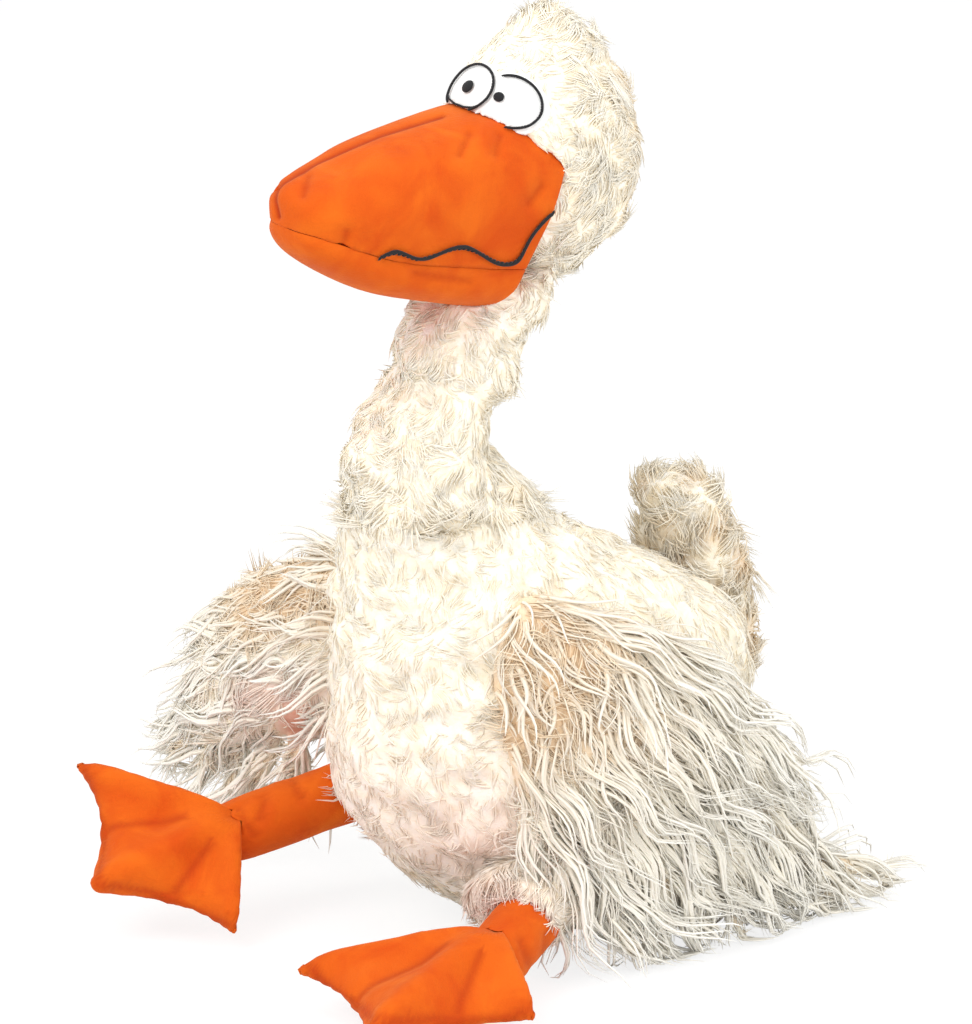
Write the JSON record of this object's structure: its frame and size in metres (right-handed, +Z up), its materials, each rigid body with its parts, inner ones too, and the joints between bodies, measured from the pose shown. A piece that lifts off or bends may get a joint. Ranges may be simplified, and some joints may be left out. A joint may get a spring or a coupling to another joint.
{
  "type": "plush goose",
  "caption": "Cream curly-fleece plush goose sitting on its rear, with a bent neck, a broad orange velour beak, long-haired wings and webbed orange feet.",
  "frame": {"origin": "on the surface it sits on, under the middle of its body", "axes": "+Z up, the goose faces -Y, its left side is +X"},
  "size_m": [0.3012, 0.3059, 0.3866],
  "materials": {
    "cream_fleece": "curly short fleece",
    "long_cream_hair": "long wavy hair with tan roots",
    "orange_velour": "short velour",
    "white_velour": "short smooth velour",
    "black_thread": "satin-stitched embroidery thread"
  },
  "bodies": {
    "root": {"body": "cream_fleece", "neck": "cream_fleece", "head": "cream_fleece", "tail": "cream_fleece", "thigh_left": "cream_fleece", "thigh_right": "cream_fleece", "wing_left": "long_cream_hair", "wing_right": "long_cream_hair", "beak_upper": "orange_velour", "beak_lower": "orange_velour", "leg_left": "orange_velour", "leg_right": "orange_velour", "foot_left": "orange_velour", "foot_right": "orange_velour", "eye_patch": "white_velour", "eye_outline_left": "black_thread", "eye_outline_right": "black_thread", "pupil_left": "black_thread", "pupil_right": "black_thread", "mouth_line_left": "black_thread", "mouth_line_right": "black_thread"}
  },
  "joints": []
}
